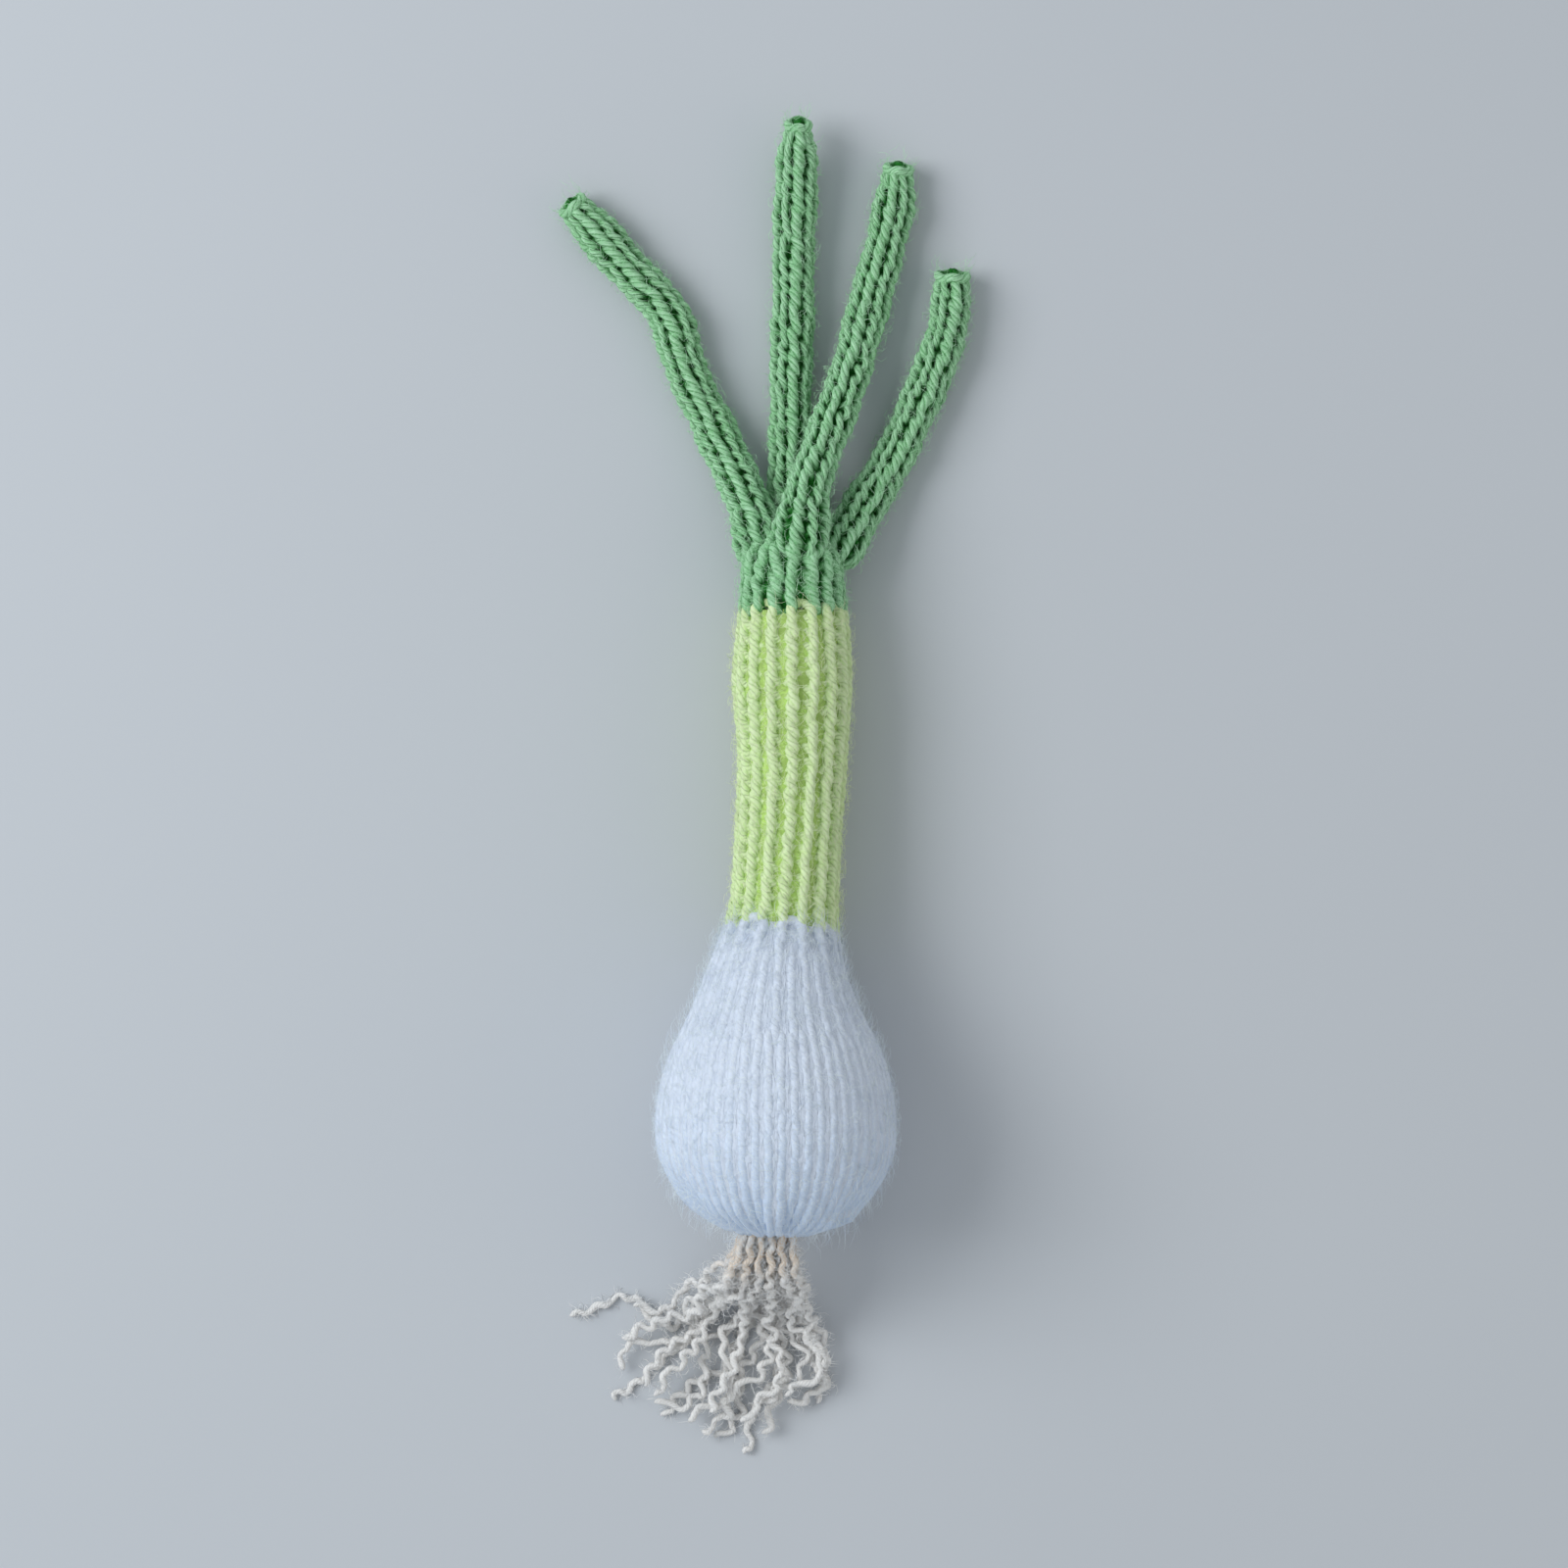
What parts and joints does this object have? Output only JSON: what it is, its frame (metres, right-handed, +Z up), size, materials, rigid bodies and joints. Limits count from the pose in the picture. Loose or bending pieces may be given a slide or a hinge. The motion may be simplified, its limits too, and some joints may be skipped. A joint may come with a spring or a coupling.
{
  "type": "knitted spring onion",
  "caption": "Stuffed knitted spring onion toy with a round white bulb, lime stem, splayed green leaves and crimped yarn roots.",
  "frame": {"origin": "middle of the flat that the bulb's weight presses into its underside, on the surface it lies on", "axes": "+Y runs along the toy from the roots to the leaf tips, +Z is up from the surface, +X is to the right when it is seen from above with the leaves away from the viewer"},
  "size_m": [0.08, 0.2566, 0.0444],
  "materials": {
    "white_yarn": "soft matt yarn",
    "lime_yarn": "soft matt yarn",
    "green_yarn": "soft matt yarn",
    "cream_yarn": "crimped matt yarn",
    "filling": "loose fibre"
  },
  "bodies": {
    "root": {"bulb_cover": "white_yarn", "stem_cover": "lime_yarn", "collar_cover": "green_yarn", "stuffing": "filling", "leaf_left": "green_yarn", "leaf_back": "green_yarn", "leaf_front": "green_yarn", "leaf_right": "green_yarn", "root_1_1": "cream_yarn", "root_1_2": "cream_yarn", "root_1_3": "cream_yarn", "root_1_4": "cream_yarn", "root_1_5": "cream_yarn", "root_1_6": "cream_yarn", "root_2_1": "cream_yarn", "root_2_2": "cream_yarn", "root_2_3": "cream_yarn", "root_2_4": "cream_yarn", "root_2_5": "cream_yarn", "root_2_6": "cream_yarn", "root_3_1": "cream_yarn", "root_3_2": "cream_yarn", "root_3_3": "cream_yarn", "root_3_4": "cream_yarn", "root_3_5": "cream_yarn", "root_3_6": "cream_yarn", "root_4_1": "cream_yarn", "root_4_2": "cream_yarn", "root_4_3": "cream_yarn", "root_4_4": "cream_yarn", "root_4_5": "cream_yarn", "root_4_6": "cream_yarn"}
  },
  "joints": []
}
